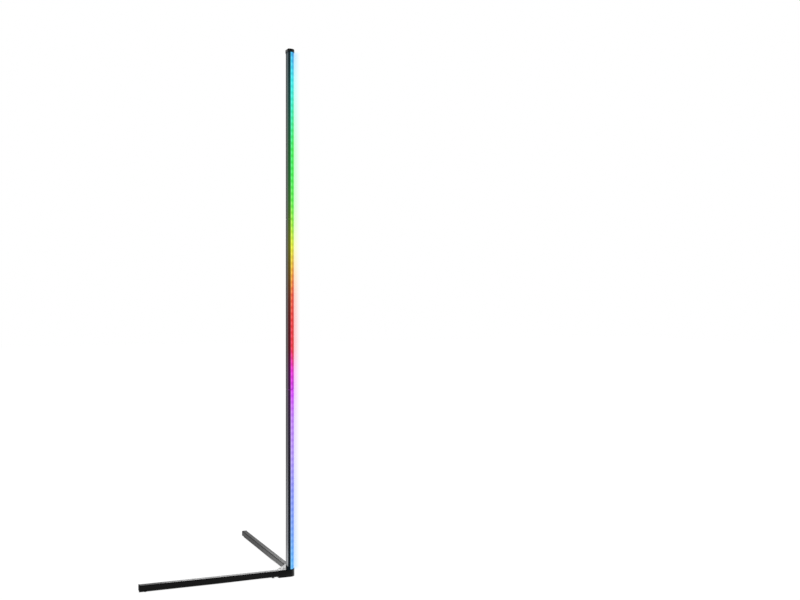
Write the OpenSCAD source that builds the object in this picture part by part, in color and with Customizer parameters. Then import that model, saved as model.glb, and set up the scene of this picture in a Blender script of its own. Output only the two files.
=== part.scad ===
// Corner floor lamp: a slim light post that stands on an L-shaped foot.
// Millimetres, +Z up. The origin is on the floor, under the corner of the V-shaped post.
// One leg runs along -X and the other along +Y, with their outer faces against two walls of a room.
// The post is a V-shaped extrusion whose round lens looks into the corner, towards +X and -Y.

/* [Overall] */
// Height from the floor to the top of the cap
total_h = 1391; // [1200:1:1800]
// Reach of each leg, from the outer corner to its tip
leg_reach = 418; // [250:1:600]
// Height of the seam between the lower and middle post sections
low_seam_z = 492; // [380:1:600]
// Height of the seam between the middle and upper post sections
high_seam_z = 942; // [720:1:1050]

/* [Post section] */
// Outside width of each wall of the V-shaped extrusion
wall_w = 18.6; // [15.5:0.1:23]
// Thickness of the two walls
wall_t = 1.4; // [1.1:0.1:1.7]
// Height of the round lens above the line between the wall edges
lens_rise = 9.2; // [7.6:0.1:11]
// Thickness of the lens
lens_t = 1.2; // [0.9:0.1:1.5]
// Width of each lip that holds the lens, measured round the arc
lip_w = 6.3; // [5:0.1:7.6]
// Thickness of the lips
lip_t = 1.3; // [1:0.1:1.6]
// Width of the circuit strip
strip_w = 10; // [8:0.5:10]
// Number of light sources in a metre of strip
led_per_m = 60; // [30:5:72]
// Open gap between two post sections at a seam
seam_gap = 0.8; // [0.2:0.1:1]
// Length of each splice bar on either side of its seam
splice_half = 28; // [20:1:40]

/* [Cap] */
// Height of the top cap
cap_h = 8.8; // [8:0.2:14]
// Thickness of the cap's flat top
cap_top = 2; // [1.2:0.1:3]
// How far the cap stands proud of the extrusion
cap_over = 1.2; // [1:0.1:2.5]

/* [Base] */
// Width and height of each leg tube
leg_s = 14.4; // [13:0.1:18]
// Wall of the leg tube
leg_t = 1.2; // [0.8:0.1:1.6]
// Gap between the floor and the underside of the legs
leg_lift = 3.6; // [2.4:0.1:5]
// Room behind the post, from its corner to the slanted face of the corner block
gusset = 14.5; // [14.5:0.1:24]
// Thickness of the corner block round the lens
rim = 1.6; // [1.5:0.1:4]
// Wall of the corner block
block_wall = 2.2; // [1.8:0.1:2.4]
// Height of the block above the legs
block_rise = 1; // [0:0.1:3]
// How far each tongue of the block reaches into its leg
tongue_len = 30; // [22:1:60]
// Distance of each leg screw from the block
screw_set = 13; // [9:0.5:16]
// Height of the post shoe above the block
shoe_rise = 7; // [5:0.5:15]
// Thickness of the bottom cover
cover_t = 2.4; // [2.4:0.1:3]
// Thickness of the rubber sheet under the block
pad_t = 1; // [0.8:0.1:1.4]
// Radius of the rounded edges of block and cap
edge_r = 1.4; // [0.6:0.1:1.5]

/* [Hidden] */
$fn = 64;

// clearances
slide_fit = 0.1;
socket_fit = 0.15;
screw_fit = 0.05;

// the lens arc meets the two walls at their outer edges
half_chord = wall_w / sqrt(2);
lens_r = (half_chord * half_chord + lens_rise * lens_rise) / (2 * lens_rise);
lens_c = (half_chord + lens_rise - lens_r) / sqrt(2);
arc_end = asin(half_chord / lens_r);
deg_per_mm = 180 / (PI * lens_r);
lens_open = arc_end - lip_w * deg_per_mm;
flange_t = 1;
flange_deg = 12;
flange_root_deg = 5;
rib_t = 1.1;
rib_deg = 6;
apex_r = 1;
edge_cut = 0.5;

// the web across the V carries the strip and closes a three-cornered void behind it
web_t = 1.4;
strip_t = 0.4;
web_front = 2 * wall_t + (strip_w + 0.6) / sqrt(2);
web_back = web_front - web_t * sqrt(2);

// light sources
led_pitch = 1000 / led_per_m;
led_s = 5;
led_h = 1.6;
led_dish_r = 2.1;
led_dish_h = 0.3;
plug_len = led_pitch - led_s - 2;
plug_t = 1.8;
strip_stop = 0.5;

// cap
cap_plug = 10;
cap_cut = 1;

// base
big = 100;
post_e = lens_c + lens_r + rim;
corner_r = lens_r + rim;
arm = 2 * post_e - leg_s + gusset * sqrt(2);
hyp = arm + leg_s;
block_top = leg_lift + leg_s + block_rise;
root = 7.5;
ear_r = 3.4;
ear_set = 4.4;
groove_w = 0.5;
groove_d = 0.35;
leg_mid_z = leg_lift + leg_s / 2;
leg_r = 1.6;
tongue_s = leg_s - 2 * leg_t - 2 * slide_fit;
cover_top = pad_t + cover_t;
shoe_top = block_top + shoe_rise;
lens_seat = 2;
roof_z = block_top - block_wall;

// leg tips
tip_flange = 2;
tip_proud = 0.4;
tip_plug = 12;
foot_r = 3.5;
foot_set = 16;
pad_inset = 2;
pad_fit = 0.3;

// fasteners: pan head M4 for the legs, countersunk M4 and M3 below, M3 grub screws in the post
m4_r = 2;
m4_head_r = 4;
m4_head_h = 2.1;
sink_m4_r = 3.8;
sink_m4_h = 2;
m3_r = 1.5;
sink_m3_r = 2.8;
sink_m3_h = 1.5;
leg_screw_len = 10;
shoe_screw_at = 3.9;
shoe_screw_len = 12;
cover_screw_len = 8;
grub_len = 3;
grub_sink = 0.2;
grub_set = [8, 21];
grub_in = wall_t + 2;

// power inlet
jack_w = 8.6;
jack_h = 9;
jack_d = 10.4;
jack_z = cover_top + jack_h / 2;
nose_r = 3.5;
jack_bore_r = 2.75;
jack_bore_len = 9.5;
jack_pin_r = 1;
jack_pin_set = 1.2;
nose_in = 0.2;
slot_at = 3;
slot_len = 5;
slot_w = 1;
tag_out = 1.4;
jack_side_y = hyp / 2 - (block_wall + slide_fit + jack_d + jack_w / 2) / sqrt(2);

// control board, which hangs from two bosses under the block's top
board_t = 1.2;
board_z = cover_top + 1.8;
board_d = 16.6;
board_gap = 0.3;
board_y0 = block_wall + 1;
board_y1 = min(board_y0 + board_d, jack_side_y - board_gap);
board_x0 = max(board_y1 - hyp + block_wall * sqrt(2) + 2 * board_gap, root - arm + board_gap);
board_x1 = -post_e - 2.2;
boss_r = 2.3;
boss_in = 2.5;
boss_pitch = 8.8;
m25_r = 1.25;
sink_m25_r = 2.1;
sink_m25_h = 1.1;
plug_w = 7;
plug_d = 3;
part_inset = 0.4;
chip_s = 4;
chip_h = 0.9;
can_r = 1.8;
can_h = 4.4;
lead_d = 1;
lead_pitch = 1.7;
pair_pitch = 1.4;

// room for the leads inside the shoe, and the notch that lets them in
shoe_wall = 0.8;
chamber = shoe_screw_at * 2 + (m4_r + 1.4) * sqrt(2);
chamber_r = lens_r - lens_t - lip_t;
notch_u = chamber + 0.6;
notch_w = 2 * lead_pitch + lead_d + 0.4;
notch_top = board_z + board_t + plug_d;

// where each post section starts and ends
section_z0 = [shoe_top, low_seam_z + seam_gap / 2, high_seam_z + seam_gap / 2];
section_z1 = [low_seam_z - seam_gap / 2, high_seam_z - seam_gap / 2, total_h - cap_top];

// ---------- placing ----------

// The post's own plane: +x runs along the wall that faces -X, +y along the wall that faces +Y.
module at_post(z = 0) {
    translate([0, 0, z]) rotate(-90) children();
}

// On the front of the web: +x points at the lens, y runs across the strip.
module at_web(z = 0) {
    at_post(z) rotate(45) translate([web_front / sqrt(2), 0, 0]) children();
}

// The corner of the room, where the planes of the two outer faces meet.
module at_corner(z = 0) {
    translate([post_e, -post_e, z]) children();
}

// The rear leg mirrors the left leg.
module rear_copy() {
    mirror([1, 1, 0]) children();
}

module both_legs(z = 0) {
    at_corner(z) {
        children();
        rear_copy() children();
    }
}

// On the slanted face of the block: +x points into the block.
module at_slant(z = 0) {
    at_corner(z) translate([-hyp / 2, hyp / 2, 0]) rotate(-45) children();
}

// ---------- plane shapes of the post ----------

// A slice of the plane between two angles, counted from the middle of the lens.
module sector(a0, a1) {
    steps = 8;
    turn = [for (i = [0:steps]) 45 + a0 + (a1 - a0) * i / steps];
    polygon(concat([[0, 0]], [for (a = turn) 3 * lens_r * [cos(a), sin(a)]]));
}

// A band of an arc round the lens centre, with angles counted from the middle of the lens.
module arc_band(r0, r1, a0, a1) {
    translate([lens_c, lens_c]) intersection() {
        difference() {
            circle(r1, $fn = 128);
            circle(r0, $fn = 128);
        }
        sector(a0, a1);
    }
}

module both_sides() {
    children();
    mirror([1, -1]) children();
}

// The arc's place along x at the height y, for an outline that is g larger all round.
function arc_x(g, y) = lens_c + sqrt(pow(lens_r + g, 2) - pow(y - lens_c, 2));

// The closed outline of V and lens, g larger all round: its corner is round, its two edges are cut off.
module post_outline(g = 0, cut = edge_cut) {
    wall_end = [arc_x(g, -g) - cut, -g];
    slope = [arc_x(g, cut - g) - wall_end.x, cut];
    difference() {
        intersection() {
            translate([-g, -g]) square(3 * lens_r);
            translate([lens_c, lens_c]) circle(lens_r + g, $fn = 128);
        }
        difference() {
            translate([-g - 1, -g - 1]) square(apex_r + g + 1);
            translate([apex_r, apex_r]) circle(apex_r + g);
        }
        both_sides() polygon([wall_end - slope, wall_end + 2 * slope, wall_end + [2 * slope.x, -slope.y]]);
    }
}

// Everything further from the V's corner than the line x + y = k.
module beyond(k) {
    polygon([[k, 0], [big, 0], [big, big], [0, big], [0, k]]);
}

// The void behind the web, c smaller on each side.
module void_plan(c) {
    near = wall_t + c;
    far = web_back - c * sqrt(2) - near;
    polygon([[near, near], [far, near], [near, far]]);
}

module profile_plan() {
    rib_r = lens_r - lip_t - flange_t - 2 * slide_fit;
    difference() {
        post_outline();
        intersection() {
            translate([wall_t, wall_t]) square(big);
            translate([lens_c, lens_c]) circle(lens_r - lip_t, $fn = 128);
            beyond(web_front);
        }
        void_plan(0);
        arc_band(lens_r - lip_t - 0.3, lens_r + 1, -lens_open, lens_open);
    }
    both_sides() intersection() {
        arc_band(rib_r - rib_t, rib_r, lens_open + rib_deg, 88);
        translate([wall_t - 0.05, wall_t - 0.05]) square(big);
    }
}

// The lens with its two flanges, c larger on each side.
module lens_plan(c = 0) {
    edge = lens_open + (c - slide_fit) * deg_per_mm;
    inner = edge - flange_root_deg - 2 * c * deg_per_mm;
    flange_r = lens_r - lip_t - slide_fit;
    arc_band(lens_r - lens_t - c, lens_r + c, -edge, edge);
    both_sides() {
        arc_band(flange_r - flange_t - c, lens_r - lens_t / 2, inner, edge);
        arc_band(flange_r - flange_t - c, flange_r + c, inner, edge + flange_deg);
    }
}

// ---------- plane shapes of the base ----------

// The block's outline, g smaller all round, with its arms ending at end.
module block_plan(g, end) {
    slant = hyp - end - g * sqrt(2);
    difference() {
        polygon([[-end, g], [-g, g], [-g, end], [-slant, end], [-end, slant]]);
        difference() {
            translate([-corner_r, g - 1]) square([corner_r + 1 - g, corner_r + 1 - g]);
            translate([-corner_r, corner_r]) circle(corner_r - g, $fn = 96);
        }
    }
}

module rounded_square(s, r) {
    translate([-s / 2 + r, -s / 2]) square([s - 2 * r, s]);
    translate([-s / 2, -s / 2 + r]) square([s, s - 2 * r]);
    for (x = [-1, 1], y = [-1, 1]) {
        translate([x * (s / 2 - r), y * (s / 2 - r)]) circle(r, $fn = 32);
    }
}

// ---------- fasteners ----------

// Cross recess, cut down from z = 0.
module cross_recess(w) {
    for (a = [0, 90]) {
        rotate(a) translate([-w / 2, -w / 10, -1]) cube([w, w / 5, 1.01]);
    }
}

// Countersunk screw that points up, with its head's flat face at z = 0.
module sunk_screw(head_r, head_h, r, len) {
    difference() {
        rotate_extrude() polygon([[0, 0], [head_r, 0], [r, head_h], [r, len], [0, len]]);
        mirror([0, 0, 1]) cross_recess(head_r);
    }
}

module sunk_hole(head_r, head_h, r, len) {
    hole_r = r + screw_fit;
    rotate_extrude() polygon([
        [0, -0.01],
        [head_r + screw_fit, -0.01],
        [hole_r, head_h],
        [hole_r, len],
        [0, len]
    ]);
}

// Headless screw that points along -z, with its socket at z = 0.
module grub() {
    difference() {
        translate([0, 0, -grub_len]) cylinder(r = m3_r, h = grub_len);
        translate([0, 0, -1]) cylinder(r = 0.87, h = 1.01, $fn = 6);
    }
}

// ---------- places of fasteners ----------

module at_cover_screws() {
    both_legs(pad_t) translate([-(arm - ear_set), leg_s / 2, 0]) children();
}

module at_leg_screws() {
    both_legs(leg_lift) translate([-arm - screw_set, leg_s / 2, 0]) children();
}

module at_shoe_screw() {
    at_post(pad_t) translate([shoe_screw_at, shoe_screw_at, 0]) children();
}

// Two screws go down through the block's top and the bosses below it.
module at_board_screws(z) {
    for (k = [0, 1]) {
        at_corner(z) translate([board_x0 + boss_in + k * boss_pitch, board_y1 - boss_in, 0]) children();
    }
}

// Grub screws enter the wall that faces +Y, above and below each seam; z points out of that wall.
module at_grubs(z, side) {
    for (d = grub_set) {
        at_post(z + side * d) translate([0, grub_in, 0]) rotate([0, -90, 0]) children();
    }
}

module grub_holes(z, side) {
    at_grubs(z, side) translate([0, 0, -wall_t - 0.1]) cylinder(r = m3_r + screw_fit, h = wall_t + 0.2);
}

// Seats for the screws' tips in a splice bar or tenon.
module grub_seats(z, side) {
    at_grubs(z, side) translate([0, 0, -grub_len - grub_sink]) cylinder(r = m3_r + screw_fit, h = grub_len);
}

// ---------- base ----------

// The edge of a solid that fills +x and -y of the plane, outside a quarter round.
module edge_waste() {
    mirror([0, 1]) difference() {
        translate([-1, -1]) square(edge_r + 1);
        translate([edge_r, edge_r]) circle(edge_r);
    }
}

// The same round the rim of a disc of radius r.
module round_waste(r, turn) {
    rotate_extrude(angle = turn, $fn = 128) translate([r, 0]) mirror([1, 0]) edge_waste();
}

// What rounds the block's edges off, all round, for its top edge at z = 0.
module rim_waste() {
    both_legs() {
        translate([-arm - 1, 0, 0]) rotate([90, 0, 90]) linear_extrude(arm + 1 - corner_r) edge_waste();
    }
    at_corner() translate([-corner_r, corner_r, 0]) rotate(-90) round_waste(corner_r, 90);
    at_slant() rotate([90, 0, 0]) linear_extrude(2 * arm, center = true) edge_waste();
}

// A fine groove where the block meets each leg.
module seam_groove() {
    both_legs(leg_mid_z) translate([-arm - 1, leg_s / 2, 0]) rotate([90, 0, 90])
        linear_extrude(groove_w + 1) difference() {
            square(2 * leg_s, center = true);
            rounded_square(leg_s - 2 * groove_d, leg_r);
        }
}

module block_shell() {
    difference() {
        at_corner(pad_t) linear_extrude(block_top - pad_t) block_plan(0, arm);
        translate([0, 0, block_top]) rim_waste();
        translate([0, 0, pad_t]) mirror([0, 0, 1]) rim_waste();
        seam_groove();
        at_corner(-1) linear_extrude(roof_z + 1) block_plan(block_wall, arm - root);
    }
}

// A tongue that fills the leg's bore.
module tongues() {
    both_legs(leg_mid_z) translate([-arm - tongue_len, leg_s / 2, 0]) rotate([90, 0, 90])
        linear_extrude(tongue_len + 2) rounded_square(tongue_s, 0.6);
}

module corner_block() {
    color("#1d1e20") difference() {
        union() {
            block_shell();
            tongues();
            at_board_screws(board_z + board_t) cylinder(r = boss_r, h = roof_z - board_z - board_t + 0.5);
        }
        at_board_screws(block_top) mirror([0, 0, 1]) sunk_hole(sink_m25_r, sink_m25_h, m25_r, block_top);
        at_post(cover_top) linear_extrude(big) post_outline(socket_fit);
        at_leg_screws() cylinder(r = m4_r + screw_fit, h = leg_t + leg_screw_len);
        at_cover_screws() cylinder(r = m3_r + screw_fit, h = cover_screw_len + 0.5);
        at_cover_screws() translate([0, 0, -1]) cylinder(r = ear_r, h = cover_t + 1);
        at_slant(jack_z) rotate([0, 90, 0]) translate([0, 0, -1])
            cylinder(r = nose_r + slide_fit, h = block_wall + 2);
    }
}

module base_cover() {
    color("#222326") difference() {
        union() {
            at_corner(pad_t) linear_extrude(cover_t)
                block_plan(block_wall + slide_fit, arm - root - slide_fit);
            at_cover_screws() cylinder(r = ear_r - slide_fit, h = cover_t);
        }
        at_shoe_screw() sunk_hole(sink_m4_r, sink_m4_h, m4_r, big);
        at_cover_screws() sunk_hole(sink_m3_r, sink_m3_h, m3_r, big);
    }
}

module base_pad() {
    color("#101010") difference() {
        at_corner() linear_extrude(pad_t) block_plan(pad_inset, arm - pad_inset);
        at_shoe_screw() translate([0, 0, -pad_t - 1]) cylinder(r = sink_m4_r + pad_fit, h = pad_t + 2);
        at_cover_screws() translate([0, 0, -pad_t - 1]) cylinder(r = sink_m3_r + pad_fit, h = pad_t + 2);
    }
}

module cover_screws() {
    color("#3a3b3d") at_cover_screws() sunk_screw(sink_m3_r, sink_m3_h, m3_r, cover_screw_len);
}

module left_leg() {
    color("#232527") difference() {
        at_corner(leg_mid_z) translate([-leg_reach + tip_flange, leg_s / 2, 0]) rotate([90, 0, 90])
            linear_extrude(leg_reach - tip_flange - arm) difference() {
                rounded_square(leg_s, leg_r);
                rounded_square(leg_s - 2 * leg_t, 0.5);
            }
        at_leg_screws() translate([0, 0, -1]) cylinder(r = m4_r + 0.25, h = leg_t + 2);
    }
}

module rear_leg() {
    rear_copy() left_leg();
}

module left_leg_tip() {
    color("#141414") at_corner(leg_mid_z) translate([-leg_reach, leg_s / 2, 0]) rotate([90, 0, 90]) {
        linear_extrude(tip_flange) rounded_square(leg_s + 2 * tip_proud, leg_r + tip_proud);
        translate([0, 0, tip_flange]) linear_extrude(tip_plug) difference() {
            rounded_square(tongue_s, 0.6);
            rounded_square(tongue_s - 3, 0.6);
        }
    }
}

module rear_leg_tip() {
    rear_copy() left_leg_tip();
}

module leg_screws() {
    color("#4a4b4e") at_leg_screws() difference() {
        rotate_extrude() polygon([
            [0, -m4_head_h],
            [m4_head_r * 0.55, -m4_head_h],
            [m4_head_r * 0.86, -m4_head_h * 0.74],
            [m4_head_r, -m4_head_h * 0.36],
            [m4_head_r, 0],
            [m4_r, 0],
            [m4_r, leg_screw_len],
            [0, leg_screw_len]
        ]);
        translate([0, 0, -m4_head_h]) mirror([0, 0, 1]) cross_recess(m4_head_r);
    }
}

module leg_feet() {
    color("#101010") both_legs() translate([-leg_reach + foot_set, leg_s / 2, 0]) rotate_extrude()
        polygon([[0, 0], [foot_r - 0.6, 0], [foot_r, 0.6], [foot_r, leg_lift], [0, leg_lift]]);
}

// ---------- foot of the post ----------

// The room for the leads inside the shoe, in front of the line x + y = k.
module chamber_plan(k) {
    intersection() {
        translate([wall_t + shoe_wall, wall_t + shoe_wall]) square(big);
        translate([lens_c, lens_c]) circle(chamber_r, $fn = 128);
        beyond(k);
    }
}

module post_shoe() {
    color("#17181a") difference() {
        union() {
            at_post(cover_top) linear_extrude(block_top - cover_top) post_outline();
            at_post(block_top) linear_extrude(shoe_rise) union() {
                profile_plan();
                void_plan(-0.05);
            }
            at_post(shoe_top) linear_extrude(splice_half) void_plan(slide_fit);
        }
        at_post(block_top - lens_seat) linear_extrude(lens_seat + shoe_rise) lens_plan(slide_fit);
        at_post(cover_top - 1) linear_extrude(block_top - cover_top + 1) chamber_plan(chamber);
        at_post(block_top - 3) linear_extrude(3.01) chamber_plan(web_front);
        at_post(cover_top - 1) translate([notch_u - notch_w / 2, -1, 0])
            cube([notch_w, wall_t + shoe_wall + 1.5, notch_top - cover_top + 1]);
        at_shoe_screw() cylinder(r = m4_r + screw_fit, h = shoe_screw_len + 0.5);
        grub_seats(shoe_top, 1);
    }
}

module shoe_screw() {
    color("#3a3b3d") at_shoe_screw() sunk_screw(sink_m4_r, sink_m4_h, m4_r, shoe_screw_len);
}

module shoe_grubs() {
    color("#2a2b2d") at_grubs(shoe_top, 1) translate([0, 0, -grub_sink]) grub();
}

// ---------- post ----------

module post_section(i) {
    color("#2a2c2f") difference() {
        at_post(section_z0[i]) linear_extrude(section_z1[i] - section_z0[i]) profile_plan();
        grub_holes(i == 0 ? shoe_top : section_z0[i] - seam_gap / 2, 1);
        if (i < 2) grub_holes(section_z1[i] + seam_gap / 2, -1);
    }
}

module post_lower() { post_section(0); }
module post_middle() { post_section(1); }
module post_upper() { post_section(2); }

// The lowest lens runs on into the block.
module lens(i, tint) {
    z0 = i == 0 ? block_top - lens_seat : section_z0[i];
    color(tint) at_post(z0) linear_extrude(section_z1[i] - z0) lens_plan();
}

module lens_lower() { lens(0, "#9db4f2"); }
module lens_middle() { lens(1, "#f2916f"); }
module lens_upper() { lens(2, "#7fe6c9"); }

function strip_z0(i) = i == 0 ? block_top + 1 : section_z0[i] + strip_stop;
function strip_z1(i) = section_z1[i] - strip_stop;

module strip(i) {
    color("#e8e8e2") at_web(strip_z0(i)) translate([0, -strip_w / 2, 0])
        cube([strip_t, strip_w, strip_z1(i) - strip_z0(i)]);
}

module strip_lower() { strip(0); }
module strip_middle() { strip(1); }
module strip_upper() { strip(2); }

// Light sources are counted from a seam, half a pitch from it, as far as the strip goes.
module leds(i) {
    seam = i == 2 ? high_seam_z : low_seam_z;
    way = i == 0 ? -1 : 1;
    room = i == 0 ? seam - strip_z0(i) : strip_z1(i) - seam;
    count = floor((room - led_s / 2 - 1) / led_pitch + 0.5);
    color("#fbfbf0") for (k = [0:count - 1]) {
        at_web(seam + way * (k + 0.5) * led_pitch) translate([strip_t, 0, 0]) difference() {
            translate([0, -led_s / 2, -led_s / 2]) cube([led_h, led_s, led_s]);
            translate([led_h - led_dish_h, 0, 0]) rotate([0, 90, 0])
                cylinder(r = led_dish_r, h = 1, $fn = 24);
        }
    }
}

module leds_lower() { leds(0); }
module leds_middle() { leds(1); }
module leds_upper() { leds(2); }

module splice(z) {
    color("#9a9c9f") difference() {
        at_post(z - splice_half) linear_extrude(2 * splice_half) void_plan(slide_fit);
        grub_seats(z, 1);
        grub_seats(z, -1);
    }
}

module splice_lower() { splice(low_seam_z); }
module splice_upper() { splice(high_seam_z); }

module splice_grubs() {
    color("#2a2b2d") for (z = [low_seam_z, high_seam_z], side = [-1, 1]) {
        at_grubs(z, side) translate([0, 0, -grub_sink]) grub();
    }
}

// Plug that bridges two strips, with three spring contacts.
module strip_plug(z) {
    color("#f4f4f4") at_web(z) translate([strip_t, 0, 0]) difference() {
        translate([0, -strip_w / 2, -plug_len / 2]) cube([plug_t, strip_w, plug_len]);
        for (y = [-1, 0, 1]) {
            translate([plug_t - 0.6, y * strip_w / 3.4 - 0.5, -plug_len / 3]) cube([1, 1, plug_len / 1.5]);
        }
    }
}

module strip_plug_lower() { strip_plug(low_seam_z); }
module strip_plug_upper() { strip_plug(high_seam_z); }

// ---------- cap ----------

// What rounds the cap's top edge off, for a top at z = 0.
module cap_waste() {
    both_sides() translate([-cap_over, -cap_over, 0]) rotate([90, 0, 90])
        linear_extrude(3 * lens_r) edge_waste();
    translate([lens_c, lens_c, 0]) round_waste(lens_r + cap_over, 360);
    translate([apex_r, apex_r, 0]) rotate(180) round_waste(apex_r + cap_over, 90);
}

// The cap, with a three-cornered plug that fills the post's void.
module top_cap() {
    z0 = total_h - cap_h;
    roof = total_h - cap_top;
    color("#1b1c1d") difference() {
        at_post(z0) linear_extrude(cap_h) post_outline(cap_over, cap_cut);
        at_post(total_h) cap_waste();
        at_post(z0 - 1) linear_extrude(roof - z0 + 1) post_outline(socket_fit);
    }
    color("#1b1c1d") at_post(roof - cap_plug) linear_extrude(cap_plug + 0.05) void_plan(slide_fit);
}

// ---------- power inlet and control ----------

module power_jack() {
    color("#1a1a1c") at_slant(jack_z) difference() {
        union() {
            translate([block_wall + slide_fit, -jack_w / 2, -jack_h / 2]) cube([jack_d, jack_w, jack_h]);
            translate([nose_in, 0, 0]) rotate([0, 90, 0]) cylinder(r = nose_r, h = block_wall + 1);
        }
        rotate([0, 90, 0]) translate([0, 0, 0.1]) cylinder(r = jack_bore_r, h = jack_bore_len);
        translate([slot_at, -jack_w / 2 - 1, -slot_w / 2])
            cube([slot_len, jack_w / 2 - jack_bore_r + 1.5, slot_w]);
    }
}

// The centre contact stands on the bore's floor and ends short of the mouth.
module jack_pin() {
    color("#c9a94e") at_slant(jack_z) rotate([0, 90, 0]) translate([0, 0, jack_pin_set]) rotate_extrude()
        polygon([[0, 0], [jack_pin_r * 0.6, 0], [jack_pin_r, 0.5],
            [jack_pin_r, jack_bore_len + 0.1 - jack_pin_set], [0, jack_bore_len + 0.1 - jack_pin_set]]);
}

// The side contact lies in its slot and reaches out as a solder tag.
module jack_spring() {
    tag_w = slot_w - 2 * slide_fit;
    color("#c9c9c9") at_slant(jack_z) translate([slot_at + slide_fit, -jack_w / 2 - tag_out, -tag_w / 2])
        cube([slot_len - 2 * slide_fit, jack_w / 2 + tag_out - jack_bore_r, tag_w]);
}

module control_board() {
    color("#1f6b3a") difference() {
        at_corner(board_z) translate([board_x0, board_y0, 0])
            cube([board_x1 - board_x0, board_y1 - board_y0, board_t]);
        at_board_screws(board_z - 1) cylinder(r = m25_r + screw_fit, h = board_t + 2);
    }
}

module board_screws() {
    color("#5a5b5e") at_board_screws(block_top) mirror([0, 0, 1])
        sunk_screw(sink_m25_r, sink_m25_h, m25_r, block_top - board_z + 0.6);
}

// Where the inlet's leads start, between the two bosses.
jack_plug = [board_x0 + boss_in + boss_pitch / 2, board_y1 - 2 * boss_in - boss_r - 1];

// Chip, round capacitor, small resistor and the sockets of the leads.
module board_parts() {
    column = board_x0 + 2 * part_inset;
    chip_y = board_y0 + part_inset + 0.2;
    can_y = board_y1 - boss_in - boss_r - board_gap - can_r;
    color("#26282a") at_corner(board_z + board_t) {
        translate([column, chip_y, 0]) cube([chip_s, chip_s, chip_h]);
        translate([column, chip_y + chip_s + 0.5, 0]) cube([1.6, 0.8, 0.5]);
        translate([column + can_r, can_y, 0]) cylinder(r = can_r, h = can_h);
        translate([board_x1 - plug_d - part_inset, post_e - notch_u - plug_w / 2, 0])
            cube([plug_d, plug_w, plug_d]);
        translate([jack_plug[0] - plug_d / 2, jack_plug[1] - plug_d, 0]) cube([plug_d, plug_d, plug_d]);
    }
}

// A run of round wire through the given points.
module lead(path) {
    for (i = [0:len(path) - 2]) {
        hull() {
            translate(path[i]) sphere(lead_d / 2, $fn = 8);
            translate(path[i + 1]) sphere(lead_d / 2, $fn = 8);
        }
    }
}

// A point given from the middle of the slanted face, as a place from the corner of the room.
function from_slant(x, y, z) = [(x + y) / sqrt(2) - hyp / 2, (y - x) / sqrt(2) + hyp / 2, z];

// Two leads from the board to the inlet's side tag and to its rear end.
module jack_leads() {
    z = board_z + board_t + plug_d / 2;
    x = jack_plug[0];
    y = jack_plug[1] + lead_d / 2;
    past = board_y1 - 0.5;
    side = -jack_w / 2 - tag_out - lead_d / 2;
    color("#8c1f1f") at_corner() lead([
        [x - pair_pitch / 2, y, z],
        [x - pair_pitch / 2, past, z],
        from_slant(5, side, jack_z)
    ]);
    color("#151515") at_corner() lead([
        [x + pair_pitch / 2, y, z],
        [x + pair_pitch / 2, past, z],
        from_slant(9.5, -jack_w / 2 - lead_d / 2, jack_z + 2)
    ]);
}

// Three leads from the board through the notch in the shoe and up to the lowest strip.
module strip_leads() {
    z = board_z + board_t + plug_d / 2;
    near = (web_front / sqrt(2)) + strip_t + lead_d / 2;
    far = (chamber + lead_d) / sqrt(2) + 0.4;
    for (k = [-1, 0, 1]) {
        u = notch_u + lead_pitch * k;
        s = -strip_w / 3.6 * k;
        color(["#b8301f", "#2a8c3c", "#e8e8e8"][k + 1]) at_post() lead([
            [u, -post_e - board_x1 - part_inset + lead_d / 2 + 0.2, z],
            [u, wall_t + shoe_wall + lead_d + 0.6, z],
            [(far - 0.8 * s) / sqrt(2), (far + 0.8 * s) / sqrt(2), block_top - 3],
            [(near - s) / sqrt(2), (near + s) / sqrt(2), block_top + 2],
            [(near - s) / sqrt(2), (near + s) / sqrt(2), block_top + 5]
        ]);
    }
}

corner_block();
base_cover();
base_pad();
cover_screws();
post_shoe();
shoe_screw();
shoe_grubs();
post_lower();
post_middle();
post_upper();
lens_lower();
lens_middle();
lens_upper();
strip_lower();
strip_middle();
strip_upper();
leds_lower();
leds_middle();
leds_upper();
splice_lower();
splice_upper();
splice_grubs();
strip_plug_lower();
strip_plug_upper();
top_cap();
left_leg();
rear_leg();
left_leg_tip();
rear_leg_tip();
leg_screws();
leg_feet();
power_jack();
jack_pin();
jack_spring();
control_board();
board_parts();
board_screws();
jack_leads();
strip_leads();
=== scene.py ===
import colorsys
import math

import bmesh
import bpy
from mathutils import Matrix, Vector


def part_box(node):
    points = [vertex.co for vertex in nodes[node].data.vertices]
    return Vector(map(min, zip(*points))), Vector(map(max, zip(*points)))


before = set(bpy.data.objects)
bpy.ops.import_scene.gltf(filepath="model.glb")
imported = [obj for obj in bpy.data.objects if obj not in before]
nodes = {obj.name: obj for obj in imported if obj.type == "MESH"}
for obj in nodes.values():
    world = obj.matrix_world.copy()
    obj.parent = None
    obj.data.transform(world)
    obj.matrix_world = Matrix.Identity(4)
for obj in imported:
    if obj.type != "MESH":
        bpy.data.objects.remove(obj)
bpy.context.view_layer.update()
scene = bpy.context.scene

# ---------- sizes and places, in metres ----------

MM = 0.001


def lowest(piece, axis):
    """A piece's lowest coordinate along an axis of the frame, to the nearest micrometre."""
    return round(getattr(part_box(piece)[0], axis), 6)


def highest(piece, axis):
    """A piece's highest coordinate along an axis of the frame, to the nearest micrometre."""
    return round(getattr(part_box(piece)[1], axis), 6)


TOP = highest("top_cap", "z")
CAP_H = 8.8 * MM
LENS_TOP = TOP - CAP_H
LENS_AT = (5.905 * MM, -5.905 * MM)             # centre of the lens arc in plan
LENS_R = 14 * MM
LOW_SEAM = (highest("post_lower", "z") + lowest("post_middle", "z")) / 2
WALL_W = 18.5 * MM                              # from the post's corner to the lip at the end of a wall

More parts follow.
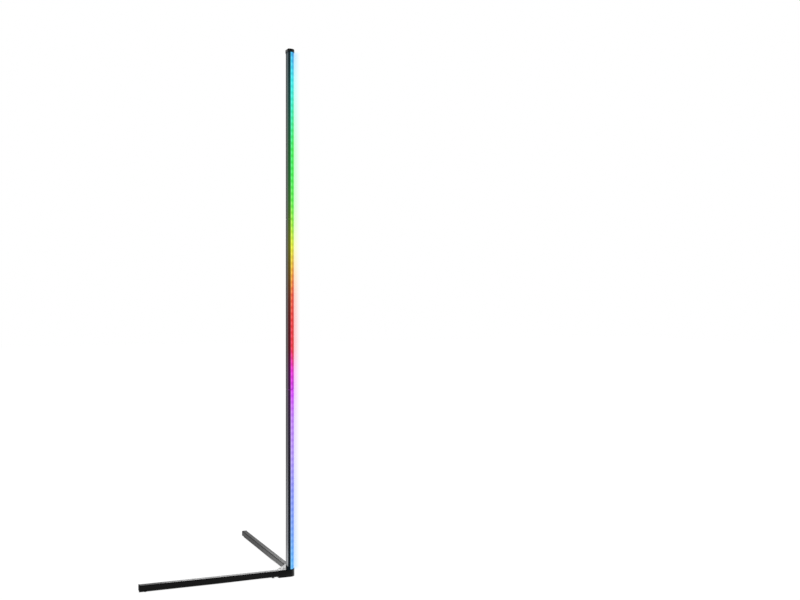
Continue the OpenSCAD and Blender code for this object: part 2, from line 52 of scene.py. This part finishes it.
LED_PITCH = 1 / 60
LED_DISH_R = 2.1 * MM
PAD_ROW = 2.4 * MM                              # from the middle of the circuit strip to a row of pads
BOARD_TOP = highest("control_board", "z")
ITEMS_TOP = highest("board_parts", "z")
CAN_R = 1.8 * MM                                # the control board's round capacitor
CAN_AT = (lowest("board_parts", "x") + CAN_R, highest("board_parts", "y") - CAN_R)
SOCKETS_FROM = -12.5 * MM                       # the lead sockets lie past this x

BLOCK_LOW, BLOCK_TOP = lowest("corner_block", "z"), highest("corner_block", "z")
BLOCK_ARM = -highest("left_leg", "x")           # from the post's corner to the end of the block's arm
CORNER_R = highest("corner_block", "x") - LENS_AT[0]    # the block's round corner, about the lens centre
SLANT = 14.5 * MM                               # from the post's corner to the block's slanted face
LEG_LOW, LEG_TOP = lowest("left_leg", "z"), highest("left_leg", "z")
LEG_W = LEG_TOP - LEG_LOW
LEG_REACH = -lowest("left_leg_tip", "x")        # from the post's corner to the end of a leg
SCREW_R = 4 * MM                                # head of a leg's screw
SCREW_AT = -lowest("leg_screws", "x") - SCREW_R     # from the post's corner to the middle of that head

AXIS = (math.sqrt(0.5), -math.sqrt(0.5), 0)     # the way the lens looks
ACROSS = (math.sqrt(0.5), math.sqrt(0.5), 0)    # across the circuit strip

# The photograph's camera: 800 x 600 pixels, level, with its optical axis left of the middle.
IMAGE_W = 800
FOCAL_PX = 891.18
CENTRE_PX = 261.9
CAMERA_AT = (-0.8381, -2.2118, 0.7284)
CAMERA_TURN = math.radians(19.223)              # from +Y towards +X
AHEAD = (math.sin(CAMERA_TURN), math.cos(CAMERA_TURN), 0)

# Colour of the light by height: (z, hue in degrees, saturation), from the foot to the cap.
RAINBOW = [
    (0.02, 202, 0.50), (0.11, 215, 0.40), (0.22, 232, 0.32), (0.32, 260, 0.28), (0.42, 276, 0.36),
    (0.48, 290, 0.58), (0.54, 304, 0.72), (0.60, 346, 0.74), (0.67, 358, 0.64), (0.74, 18, 0.64),
    (0.80, 44, 0.70), (0.87, 62, 0.70), (0.93, 80, 0.64), (0.99, 108, 0.54), (1.06, 132, 0.60),
    (1.13, 138, 0.62), (1.18, 156, 0.64), (1.26, 174, 0.68), (1.31, 181, 0.68), (1.38, 194, 0.64),
]

# ---------- colours ----------

WHITE = (1, 1, 1, 1)


def linear(c):
    """An sRGB channel from 0 to 1 as linear light."""
    return c / 12.92 if c <= 0.04045 else ((c + 0.055) / 1.055) ** 2.4


def srgb(r, g, b):
    return (linear(r), linear(g), linear(b), 1)


def grey(v):
    return srgb(v, v, v)


def hsv(h, s, v):
    return srgb(*colorsys.hsv_to_rgb(h % 360 / 360, min(s, 1), v))


def vivid(h, s):
    return hsv(h, s, 1.0)


# ---------- node helpers ----------


class Tree:
    """A short way to write the node tree of a material or world."""

    def __init__(self, owner):
        owner.use_nodes = True
        self.tree = owner.node_tree
        self.tree.nodes.clear()

    def add(self, kind, **values):
        n = self.tree.nodes.new(kind)
        for k, v in values.items():
            setattr(n, k, v)
        return n

    def put(self, value, socket):
        """A number or colour is set on the socket, and another node's output is linked to it."""
        if isinstance(value, bpy.types.NodeSocket):
            self.tree.links.new(value, socket)
        else:
            socket.default_value = value

    # numbers and vectors

    def math(self, op, a, b=0.0, c=0.0):
        n = self.add("ShaderNodeMath", operation=op)
        for v, s in zip((a, b, c), n.inputs):
            self.put(v, s)
        return n.outputs[0]

    def vmath(self, op, a, b=(0, 0, 0), scale=1.0):
        n = self.add("ShaderNodeVectorMath", operation=op)
        self.put(a, n.inputs[0])
        if op == "SCALE":
            self.put(scale, n.inputs["Scale"])
        else:
            self.put(b, n.inputs[1])
        return n.outputs["Value"] if op in ("DOT_PRODUCT", "LENGTH", "DISTANCE") else n.outputs[0]

    def fit(self, value, a0, a1, b0=0.0, b1=1.0, smooth=False):
        """b0 where the value is a0 and b1 where it is a1, changing steadily between, and level past them."""
        n = self.add("ShaderNodeMapRange", interpolation_type="SMOOTHSTEP" if smooth else "LINEAR")
        self.put(value, n.inputs["Value"])
        for v, s in zip((a0, a1, b0, b1), list(n.inputs)[1:5]):
            self.put(v, s)
        return n.outputs[0]

    def blend(self, factor, a, b):
        """The number a where the factor is 0, and b where it is 1."""
        return self.fit(factor, 0.0, 1.0, a, b)

    def within(self, value, limit, blur=0.1 * MM):
        """1 where the value is below the limit, else 0."""
        return self.fit(value, limit - blur, limit + blur, 1.0, 0.0)

    def beyond(self, value, limit, blur=0.1 * MM):
        """1 where the value is above the limit, else 0."""
        return self.fit(value, limit - blur, limit + blur)

    def hypot(self, a, b):
        return self.math("SQRT", self.math("ADD", self.math("MULTIPLY", a, a), self.math("MULTIPLY", b, b)))

    # colours, noise and bump

    def mix(self, factor, a, b):
        """The colour a where the factor is 0, and b where it is 1."""
        n = self.add("ShaderNodeMix", data_type="RGBA")
        self.put(factor, n.inputs["Factor"])
        self.put(a, n.inputs[6])
        self.put(b, n.inputs[7])
        return n.outputs[2]

    def noise(self, where, scale, detail=3.0, rough=0.5):
        n = self.add("ShaderNodeTexNoise")
        self.put(where, n.inputs["Vector"])
        n.inputs["Scale"].default_value = scale
        n.inputs["Detail"].default_value = detail
        n.inputs["Roughness"].default_value = rough
        return n.outputs["Fac"]

    def vary(self, noise, low, high):
        """A number that wanders from low to high with the noise, most of which lies from 0.3 to 0.7."""
        return self.fit(noise, 0.3, 0.7, low, high)

    def specks(self, noise, dark, light):
        """Dark grains with lighter specks where the noise is high."""
        return self.mix(self.fit(noise, 0.52, 0.72), grey(dark), grey(light))

    def ramp(self, factor, stops):
        n = self.add("ShaderNodeValToRGB")
        e = n.color_ramp.elements
        while len(e) < len(stops):
            e.new(0.5)
        for el, (pos, col) in zip(e, stops):
            el.position = pos
            el.color = col
        self.put(factor, n.inputs["Fac"])
        return n.outputs["Color"]

    def bump(self, height, strength, distance):
        n = self.add("ShaderNodeBump")
        n.inputs["Strength"].default_value = strength
        n.inputs["Distance"].default_value = distance
        self.put(height, n.inputs["Height"])
        return n.outputs["Normal"]

    # where the point being shaded lies

    def position(self):
        return self.add("ShaderNodeNewGeometry").outputs["Position"]

    def flat_position(self):
        return self.vmath("MULTIPLY", self.position(), (1, 1, 0))

    def part(self, axis, vector=None):
        """One coordinate of a vector, or of the point being shaded."""
        n = self.add("ShaderNodeSeparateXYZ")
        self.put(self.position() if vector is None else vector, n.inputs[0])
        return n.outputs[axis]

    def height(self):
        return self.part("Z")

    def rainbow(self, look=vivid):
        """The light's colour at this height; look turns a hue and a saturation into a colour."""
        top = RAINBOW[-1][0]
        stops = [(z / top, look(h, s)) for z, h, s in RAINBOW]
        return self.ramp(self.math("DIVIDE", self.height(), top), stops)

    def beat(self):
        """1 beside each light source and 0 midway between two."""
        turn = self.math("MULTIPLY", self.math("SUBTRACT", self.height(), LOW_SEAM), 2 * math.pi / LED_PITCH)
        return self.math("MULTIPLY_ADD", self.math("COSINE", turn), -0.5, 0.5)

    def from_source(self):
        """Distance along the post from the nearest light source, up to half a pitch."""
        turns = self.math("DIVIDE", self.math("SUBTRACT", self.height(), LOW_SEAM), LED_PITCH)
        phase = self.math("ABSOLUTE", self.math("SUBTRACT", self.math("FRACT", turns), 0.5))
        return self.math("MULTIPLY", phase, LED_PITCH)

    def across_strip(self):
        """Distance from the middle line of the circuit strip."""
        return self.math("ABSOLUTE", self.vmath("DOT_PRODUCT", self.position(), ACROSS))

    def along_wall(self):
        """Distance along a wall of the post from its corner."""
        return self.vmath("DOT_PRODUCT", self.position(), (1, -1, 0))

    def out_of_lens(self):
        """The level way from the lens centre."""
        return self.vmath("SUBTRACT", self.flat_position(), (*LENS_AT, 0))

    def from_slab(self, value, low, high):
        """Depth inside the slab between two values."""
        return self.math("MINIMUM", self.math("SUBTRACT", value, low), self.math("SUBTRACT", high, value))

    def from_rim(self):
        """Level distance from the outer faces of block and legs, with the round corner between them."""
        past = self.vmath("MAXIMUM", self.vmath("MULTIPLY", self.out_of_lens(), (1, -1, 0)), (0, 0, 0))
        return self.math("SUBTRACT", CORNER_R, self.vmath("LENGTH", past))

    def from_slant(self):
        """Level distance from the block's slanted face."""
        return self.math("ADD", self.vmath("DOT_PRODUCT", self.position(), AXIS), SLANT)

    def leg_face(self):
        """Distance to the nearest long edge of a leg."""
        level = self.from_slab(self.from_rim(), 0.0, LEG_W)
        return self.math("MAXIMUM", level, self.from_slab(self.height(), LEG_LOW, LEG_TOP))

    def block_face(self):
        """Distance to the nearest edge of the block."""
        level = self.math("MINIMUM", self.from_rim(), self.from_slant())
        return self.math("MAXIMUM", level, self.from_slab(self.height(), BLOCK_LOW, BLOCK_TOP))

    def cap_face(self):
        """Distance below the cap's top edge."""
        return self.math("SUBTRACT", TOP, self.height())

    # shaders

    def surface(self, **inputs):
        """The material's one shader, with its sockets named by keyword."""
        p = self.add("ShaderNodeBsdfPrincipled")
        for name, value in inputs.items():
            self.put(value, p.inputs[name.replace("_", " ")])
        self.output(p.outputs[0])

    def shader(self, kind, **inputs):
        """A shader of any kind, with its sockets named by keyword."""
        n = self.add(kind)
        for name, value in inputs.items():
            self.put(value, n.inputs[name])
        return n.outputs[0]

    def output(self, *shaders, socket="Surface"):
        """One shader, or the sum of two, goes to the material's output."""
        result = shaders[0]
        if len(shaders) == 2:
            n = self.add("ShaderNodeAddShader")
            self.put(shaders[0], n.inputs[0])
            self.put(shaders[1], n.inputs[1])
            result = n.outputs[0]
        self.put(result, self.add("ShaderNodeOutputMaterial").inputs[socket])


def start(name):
    """A new material and its empty tree."""
    m = bpy.data.materials.new(name)
    return m, Tree(m)


# ---------- materials ----------


def coated(name, dark, light, grain, rough, bump=0.25, face=None, edge=2.0 * MM, gloss=0.5, top=None):
    """Fine black powder coat: dark grains with lighter specks, and an orange-peel bump.

    face names the helper that gives the distance to the nearest edge, where the coat is duller and painted
    shade darkens it.
    top is the height of a top face that has been wiped shinier than the sides.
    """
    edge_gloss, side_gloss = 0.05, 0.4
    m, t = start(name)
    at = t.position()
    fine = t.noise(at, grain, 4.0, 0.62)
    wide = t.noise(at, grain * 0.07)
    colour = t.specks(fine, dark, light)
    looks = {}
    if face:
        inner = t.fit(face(t), 0.3 * edge, edge, smooth=True)
        # painted shade: the coat turns nearly black towards its edges
        colour = t.mix(inner, grey(0.01), colour)
        if top:
            gloss = t.fit(t.height(), top - 0.5 * MM, top - 0.1 * MM, side_gloss, gloss)
        looks["Specular_IOR_Level"] = t.blend(inner, edge_gloss, gloss)
    t.surface(Base_Color=colour, Roughness=t.vary(wide, rough - 0.05, rough + 0.06),
              Normal=t.bump(fine, bump, 0.06 * MM), **looks)
    return m


def anodised_post(name):
    """Satin black extrusion, duller towards its corner, with a painted glow in the lens's colours on walls
    and lips.

    The painted glow sets in above the lower end, and the lips lose theirs again towards the top.
    """
    painted_wall_glow, painted_lip_glow = 0.022, 0.11
    m, t = start(name)
    at, z = t.position(), t.height()
    fine = t.noise(at, 1900, 4.0, 0.62)
    wide = t.noise(at, 130)
    inner = t.fit(t.along_wall(), 2 * MM, 11 * MM, smooth=True)
    # painted light: walls and lips glow faintly in the lens's colours, though they are no lamp
    on_wall = t.math("MULTIPLY", t.fit(z, 0.28, 0.75, 0.0, painted_wall_glow), t.blend(inner, 0.3, 1.0))
    on_lip = t.math("MULTIPLY", t.fit(z, 0.28, 0.88, 0.0, painted_lip_glow), t.fit(z, 1.02, 1.37, 1.0, 0.05))
    light = t.blend(t.beyond(t.along_wall(), WALL_W, 0.3 * MM), on_wall, on_lip)
    t.surface(Base_Color=t.specks(fine, 0.05, 0.13), Roughness=t.vary(wide, 0.31, 0.37),
              Normal=t.bump(fine, 0.25, 0.06 * MM), Specular_IOR_Level=t.blend(inner, 0.08, 0.55),
              Emission_Color=t.vmath("SCALE", t.rainbow(), scale=light), Emission_Strength=1.0)
    return m


def moulded(name, dark, light, grain=900, rough=0.5, gloss=0.5):
    """Moulded plastic or rubber with a fine, even texture."""
    m, t = start(name)
    fine = t.noise(t.position(), grain, 2.0)
    t.surface(Base_Color=t.mix(fine, dark, light), Roughness=t.vary(fine, rough - 0.06, rough + 0.06),
              Specular_IOR_Level=gloss, Normal=t.bump(fine, 0.15, 0.05 * MM))
    return m


def metal(name, colour, rough):
    """Bare or plated metal with fine marks."""
    m, t = start(name)
    fine = t.noise(t.position(), 700)
    low = tuple(c * 0.82 for c in colour[:3]) + (1,)
    t.surface(Base_Color=t.mix(fine, low, colour), Metallic=1.0,
              Roughness=t.vary(fine, rough - 0.07, rough + 0.07), Normal=t.bump(fine, 0.1, 0.02 * MM))
    return m


def light_source(name):
    """White package with a yellow phosphor dish, lit in the lens's colour."""
    m, t = start(name)
    fine = t.noise(t.position(), 900, 2.0)
    dish = t.within(t.hypot(t.from_source(), t.across_strip()), LED_DISH_R)
    package = t.mix(fine, grey(0.86), grey(0.94))
    t.surface(Base_Color=t.mix(dish, package, srgb(0.93, 0.80, 0.26)),
              Roughness=t.blend(dish, 0.42, 0.18), Normal=t.bump(fine, 0.08, 0.02 * MM),
              Emission_Color=t.vmath("SCALE", t.rainbow(), scale=dish), Emission_Strength=0.8)
    return m


def circuit_strip(name):
    """White lacquered strip with two rows of tinned pads and a cut line midway between two light sources."""
    m, t = start(name)
    fine = t.noise(t.position(), 800)
    from_cut = t.math("SUBTRACT", LED_PITCH / 2, t.from_source())
    off_row = t.math("ABSOLUTE", t.math("SUBTRACT", t.across_strip(), PAD_ROW))
    pad = t.math("MULTIPLY", t.within(from_cut, 1.3 * MM), t.within(off_row, 0.8 * MM))
    cut = t.within(from_cut, 0.12 * MM, 0.03 * MM)
    track = t.math("MULTIPLY", t.within(off_row, 1.1 * MM), 0.35)
    colour = t.mix(track, t.mix(fine, grey(0.84), grey(0.90)), srgb(0.80, 0.74, 0.62))
    colour = t.mix(pad, colour, srgb(0.86, 0.66, 0.38))
    t.surface(Base_Color=t.mix(cut, colour, grey(0.08)), Metallic=pad, Roughness=t.vary(fine, 0.30, 0.42),
              Normal=t.bump(t.math("ADD", t.math("MULTIPLY", fine, 0.3), pad), 0.2, 0.04 * MM))
    return m


def circuit_board(name):
    """Green lacquer over copper tracks that run in lanes and change lane, with a fine weave under it."""
    lane = 1.3 * MM
    m, t = start(name)
    at = t.position()
    weave = t.noise(t.vmath("MULTIPLY", at, (1, 1, 0.2)), 2600, 2.0)
    wander = t.math("MULTIPLY", t.noise(at, 260, 0.0), 3.0)
    lanes = t.math("MULTIPLY_ADD", t.part("Y"), 1 / lane, t.math("FLOOR", wander))
    from_lane = t.math("ABSOLUTE", t.math("SUBTRACT", t.math("FRACT", lanes), 0.5))
    track = t.within(from_lane, 0.17, 0.03)
    green = t.mix(weave, srgb(0.03, 0.20, 0.11), srgb(0.05, 0.27, 0.15))
    t.surface(Base_Color=t.mix(track, green, srgb(0.10, 0.42, 0.22)), Roughness=t.vary(weave, 0.24, 0.36),
              Normal=t.bump(t.math("MULTIPLY_ADD", weave, 0.2, track), 0.25, 0.04 * MM))
    return m


def board_items(name):
    """Black chips, a sleeved capacitor with a bare top, and ivory lead sockets, each known by its place."""
    m, t = start(name)
    fine = t.noise(t.position(), 1100)
    can = t.within(t.vmath("DISTANCE", t.flat_position(), (*CAN_AT, 0)), CAN_R + 0.15 * MM)
    can_top = t.math("MULTIPLY", can, t.beyond(t.height(), ITEMS_TOP - 0.2 * MM))
    above_board = t.beyond(t.height(), BOARD_TOP + 0.2 * MM)
    socket = t.math("MULTIPLY", t.beyond(t.part("X"), SOCKETS_FROM), above_board)
    colour = t.mix(fine, grey(0.09), grey(0.15))
    colour = t.mix(can, colour, t.mix(fine, srgb(0.03, 0.05, 0.14), srgb(0.05, 0.08, 0.20)))
    colour = t.mix(socket, colour, t.mix(fine, srgb(0.84, 0.81, 0.71), srgb(0.90, 0.87, 0.78)))
    t.surface(Base_Color=t.mix(can_top, colour, grey(0.78)), Metallic=can_top,
              Roughness=t.vary(fine, 0.34, 0.50), Normal=t.bump(fine, 0.15, 0.03 * MM))
    return m


def lead_pair(name):
    """Two sleeves side by side, a red one and a black one. The line between them turns off at a bend."""
    bend_y, line_x, slope = -2.57 * MM, -11.96 * MM, 0.78
    m, t = start(name)
    fine = t.noise(t.position(), 900, 2.0)
    past_bend = t.math("MAXIMUM", t.math("SUBTRACT", t.part("Y"), bend_y), 0.0)
    line = t.math("MULTIPLY_ADD", past_bend, slope, line_x)
    red = t.beyond(t.math("SUBTRACT", line, t.part("X")), 0.0, 0.05 * MM)
    black_sleeve = t.mix(fine, grey(0.05), grey(0.10))
    red_sleeve = t.mix(fine, srgb(0.55, 0.04, 0.03), srgb(0.68, 0.07, 0.05))
    t.surface(Base_Color=t.mix(red, black_sleeve, red_sleeve), Roughness=t.vary(fine, 0.34, 0.46),
              Normal=t.bump(fine, 0.12, 0.03 * MM))
    return m


def glowing_lens(name, level, centre, depth, contrast):
    """Milky lens lit from inside: the rainbow runs up it, with a soft spot over each light source.

    centre is the level along the middle line, depth says how much deeper the colour is there, and contrast
    how much deeper it is between two spots.
    """
    m, t = start(name)
    facing = t.vmath("DOT_PRODUCT", t.vmath("NORMALIZE", t.out_of_lens()), AXIS)

    def towards_middle(outer, inner, low=0.0):
        """low past the outer angle from the middle line, in degrees, and 1 inside the inner one."""
        ends = [math.cos(math.radians(a)) for a in (outer, inner)]
        return t.fit(facing, *ends, low, 1.0, smooth=True)

    def between_spots(h, s):
        return hsv(h, s + (s * 0.32 + 0.06) * contrast, 1.0 - 0.07 * contrast)

    middle = towards_middle(29, 20)
    edge = towards_middle(44, 35, 0.62)
    beat = t.blend(towards_middle(44, 33), 0.6, t.math("MULTIPLY", t.beat(), t.blend(middle, 1.0, 0.8)))
    deeper = t.mix(middle, WHITE, t.rainbow(lambda h, s: hsv(h, s * depth, 0.93)))
    colour = t.vmath("MULTIPLY", t.mix(beat, t.rainbow(between_spots), t.rainbow()), deeper)
    strength = t.math("MULTIPLY", edge, t.blend(middle, level, level * centre))
    fine = t.noise(t.position(), 1200, 2.0)
    t.surface(Base_Color=(0.06, 0.06, 0.06, 1), Roughness=0.38, Normal=t.bump(fine, 0.06, 0.03 * MM),
              Emission_Color=t.vmath("SCALE", colour, scale=strength), Emission_Strength=1.0)
    return m


block_coat = coated("black_block_coat", 0.055, 0.11, 1500, 0.21, face=Tree.block_face, edge=2.2 * MM,
                    gloss=0.95, top=BLOCK_TOP)
leg_coat = coated("black_leg_coat", 0.045, 0.09, 1400, 0.27, face=Tree.leg_face)
# a darker copy of the leg coat for the rear leg: painted shade over a wider band at its edges, and less gloss
shaded_rear_leg_coat = coated("shaded_rear_leg_coat", 0.045, 0.09, 1400, 0.29, face=Tree.leg_face, edge=3.6 * MM,
                       gloss=0.15)
post_coat = anodised_post("black_anodised_post")
cap_plastic = coated("cap_plastic", 0.06, 0.14, 1700, 0.42, bump=0.35, face=Tree.cap_face, edge=2.4 * MM)
shoe_plastic = moulded("shoe_plastic", grey(0.02), grey(0.04), 1100, 0.7, gloss=0.1)
tip_plastic = moulded("tip_plastic", grey(0.03), grey(0.05))
cover_plastic = moulded("cover_plastic", grey(0.07), grey(0.10), 800, 0.55)
rubber = moulded("rubber", grey(0.05), grey(0.09), 600, 0.8)
jack_plastic = moulded("jack_plastic", grey(0.05), grey(0.07), rough=0.35)
board_green = circuit_board("board_green")
chips = board_items("board_items")
jack_wire = lead_pair("red_and_black_sleeves")
strip_wire = moulded("grey_sleeve", grey(0.25), grey(0.32), 500, 0.4)
strip_white = circuit_strip("strip_white")
plug_white = moulded("plug_white", grey(0.88), grey(0.92), 700, 0.35)
led_body = light_source("light_source")
screw_black = metal("black_screw", grey(0.30), 0.38)
bright = metal("bright_alloy", grey(0.80), 0.30)
brass = metal("brass", (0.72, 0.50, 0.20, 1), 0.22)
steel = metal("spring_steel", grey(0.85), 0.28)

LENS_LOOK = {
    "lower": dict(level=1.04, centre=1.0, depth=0.45, contrast=0.6),
    "middle": dict(level=1.0, centre=0.85, depth=0.9, contrast=1.1),
    "upper": dict(level=1.0, centre=0.92, depth=0.9, contrast=1.2),
}

FINISH = {
    "corner_block": block_coat, "base_cover": cover_plastic, "base_pad": rubber, "post_shoe": shoe_plastic,
    "top_cap": cap_plastic, "left_leg": leg_coat, "rear_leg": shaded_rear_leg_coat, "left_leg_tip": tip_plastic,
    "rear_leg_tip": tip_plastic, "leg_feet": rubber, "splice_lower": bright, "splice_upper": bright,
    "strip_plug_lower": plug_white, "strip_plug_upper": plug_white, "strip_leads": strip_wire,
    "power_jack": jack_plastic, "jack_pin": brass, "jack_spring": steel, "jack_leads": jack_wire,
    "control_board": board_green, "board_parts": chips,
}
for section, look in LENS_LOOK.items():
    FINISH["post_" + section] = post_coat
    FINISH["strip_" + section] = strip_white
    FINISH["leds_" + section] = led_body
    FINISH["lens_" + section] = glowing_lens("lens_" + section, **look)
for screws in ("cover_screws", "shoe_screw", "shoe_grubs", "splice_grubs", "leg_screws", "board_screws"):
    FINISH[screws] = screw_black

for name, obj in nodes.items():
    obj.data.materials.clear()
    obj.data.materials.append(FINISH[name])

# ---------- surroundings ----------


def studio_world():
    """White to the camera, and an even light. Reflections show a bright band above the horizon.

    The band is dim behind the camera and overhead.
    """
    even_light = 0.75
    world = bpy.data.worlds.new("studio")
    scene.world = world
    t = Tree(world)
    look = t.add("ShaderNodeTexCoord").outputs["Generated"]
    rise = t.part("Z", look)
    band = t.math("ADD", t.fit(rise, 0.0, 0.18, 0.76, 0.98), t.fit(rise, 0.18, 0.30, 0.0, -0.31))
    band = t.math("MULTIPLY", band, t.fit(rise, 0.40, 0.75, 1.0, 0.02, smooth=True))
    far_side = t.fit(t.vmath("DOT_PRODUCT", look, AHEAD), -0.35, 0.25, 0.17, 1.0, smooth=True)
    ray = t.add("ShaderNodeLightPath").outputs
    level = t.blend(ray["Is Glossy Ray"], even_light, t.math("MULTIPLY", far_side, band))
    seen = t.math("MAXIMUM", ray["Is Camera Ray"], ray["Is Transmission Ray"])
    sky = t.shader("ShaderNodeBackground", Color=WHITE, Strength=t.math("MAXIMUM", level, seen))
    t.put(sky, t.add("ShaderNodeOutputWorld").inputs["Surface"])


def depth_in_shade(t):
    """How deep a place on the floor lies inside the painted shade under the foot, or below 0 outside it.

    Under the block the shade fills its outline. The legs stand higher and light reaches under them, so their
    shade sets in further back, and near the block further still. The round head of each leg's screw comes
    close to the floor and has shade of its own.
    """
    no_limit = 1.0
    rim = t.from_rim()
    arm = t.math("MAXIMUM", t.math("MULTIPLY", t.part("X"), -1.0), t.part("Y"))
    by_leg = t.beyond(arm, BLOCK_ARM, 0.5 * MM)
    front = t.blend(by_leg, 0.0, t.fit(arm, 75 * MM, 195 * MM, 10.5 * MM, 7.5 * MM))
    leg_back = t.fit(t.part("Y"), BLOCK_ARM - 2 * MM, BLOCK_ARM, LEG_W, LEG_W - 4 * MM)
    back = t.blend(by_leg, no_limit, leg_back)
    # the slanted face is a limit under the block only, where by_leg is less than a half
    slant = t.math("MAXIMUM", t.from_slant(), t.math("SUBTRACT", by_leg, 0.5))
    inside = t.math("MINIMUM", t.from_slab(rim, front, back), slant)
    inside = t.math("MINIMUM", inside, t.math("SUBTRACT", LEG_REACH - 0.5 * MM, arm))
    off_screw = t.hypot(t.math("SUBTRACT", arm, SCREW_AT), t.math("SUBTRACT", rim, LEG_W / 2))
    return t.math("MAXIMUM", inside, t.math("SUBTRACT", SCREW_R, off_screw))


def white_floor():
    """White to the camera, apart from the painted shade under the foot, and nearly black as a plain surface.

    Reflections show it brightest near the lamp, dark on the camera's side and dimmer to the right.
    """
    plain_white, deep_shade = 0.94, 0.02
    bpy.ops.mesh.primitive_plane_add(size=24, location=(0, 0, -0.4 * MM))
    floor = bpy.context.object
    floor.name = "floor"
    m, t = start("floor_white")
    away = t.vmath("LENGTH", t.position())
    level = t.math("ADD", t.fit(away, 0.1, 0.3, 3.8, 1.75), t.fit(away, 0.9, 1.9, 0.0, -0.95))
    far_side = t.fit(t.vmath("DOT_PRODUCT", t.position(), AHEAD), -0.06, 0.06, 0.04, 1.0, smooth=True)
    to_the_left = t.fit(t.part("X"), -0.07, -0.012, 1.0, 0.42, smooth=True)
    level = t.math("MULTIPLY", t.math("MULTIPLY", far_side, to_the_left), level)
    ray = t.add("ShaderNodeLightPath").outputs
    level = t.math("MULTIPLY", ray["Is Glossy Ray"], level)
    # painted shade: the white that the camera sees turns nearly black inside the shade's outline
    seen = t.fit(depth_in_shade(t), -0.3 * MM, 0.7 * MM, plain_white, deep_shade, smooth=True)
    level = t.math("MAXIMUM", level, t.math("MULTIPLY", ray["Is Camera Ray"], seen))
    t.output(t.shader("ShaderNodeEmission", Strength=level),
             t.shader("ShaderNodeBsdfDiffuse", Color=(0.10, 0.10, 0.10, 1)))
    floor.data.materials.append(m)


def softbox(name, at, target, size, power, gloss=False):
    """An area light; gloss says whether it is a reflection only, or a plain light without one."""
    data = bpy.data.lights.new(name, "AREA")
    data.shape = "RECTANGLE"
    data.size, data.size_y = size
    data.energy = power
    o = bpy.data.objects.new(name, data)
    o.location = at
    o.rotation_euler = (Vector(target) - Vector(at)).to_track_quat("-Z", "Y").to_euler()
    o.visible_camera = False
    o.visible_glossy = gloss
    o.visible_diffuse = not gloss
    scene.collection.objects.link(o)


def light_in_the_air():
    """The lens's coloured light in the air: a cylinder of thin haze, filled on the side the lens looks to."""
    reach = 31 * MM
    bm = bmesh.new()
    bmesh.ops.create_cone(bm, cap_ends=True, segments=48, radius1=reach, radius2=reach,
                          depth=LENS_TOP - BLOCK_TOP)
    mesh = bpy.data.meshes.new("lens_light")
    bm.to_mesh(mesh)
    bm.free()
    haze = bpy.data.objects.new("lens_light", mesh)
    haze.location = (*LENS_AT, (LENS_TOP + BLOCK_TOP) / 2)
    scene.collection.objects.link(haze)
    for ray in ("diffuse", "glossy", "transmission", "shadow", "volume_scatter"):
        setattr(haze, "visible_" + ray, False)
    m, t = start("lens_light")
    out = t.out_of_lens()
    front = t.fit(t.vmath("DOT_PRODUCT", t.vmath("NORMALIZE", out), AXIS), 0.0, 0.55, smooth=True)
    thick = t.math("MULTIPLY", front, t.fit(t.vmath("LENGTH", out), LENS_R, reach, 1.0, 0.0))
    tint = t.rainbow(lambda h, s: hsv(h, s, 0.97))
    t.output(t.shader("ShaderNodeVolumeAbsorption", Color=tint, Density=t.math("MULTIPLY", thick, 20.0)),
             t.shader("ShaderNodeEmission", Color=t.rainbow(), Strength=t.math("MULTIPLY", thick, 1.5)),
             socket="Volume")
    mesh.materials.append(m)


def photo_camera():
    """A camera that sees the lamp as the photograph does."""
    cam = bpy.data.cameras.new("camera")
    cam.sensor_width = 36
    cam.lens = FOCAL_PX * cam.sensor_width / IMAGE_W
    cam.shift_x = 0.5 - CENTRE_PX / IMAGE_W
    camera = bpy.data.objects.new("camera", cam)
    camera.location = CAMERA_AT
    camera.rotation_euler = (math.radians(90), 0, -CAMERA_TURN)
    scene.collection.objects.link(camera)
    scene.camera = camera


studio_world()
white_floor()
softbox("key", at=(-1.6, -1.8, 2.6), target=(0, 0, 0.6), size=(1.6, 1.6), power=40)
softbox("fill", at=(2.4, -1.0, 1.6), target=(0, 0, 0.6), size=(1.6, 2.0), power=14)
# a low panel behind the foot, which the tops of block and left leg reflect
softbox("low_panel", at=(0.1, 0.51, 0.20), target=(0.1, 0.51, 0.0), size=(0.6, 0.20), power=1.4, gloss=True)
light_in_the_air()
photo_camera()
scene.view_settings.view_transform = "Standard"
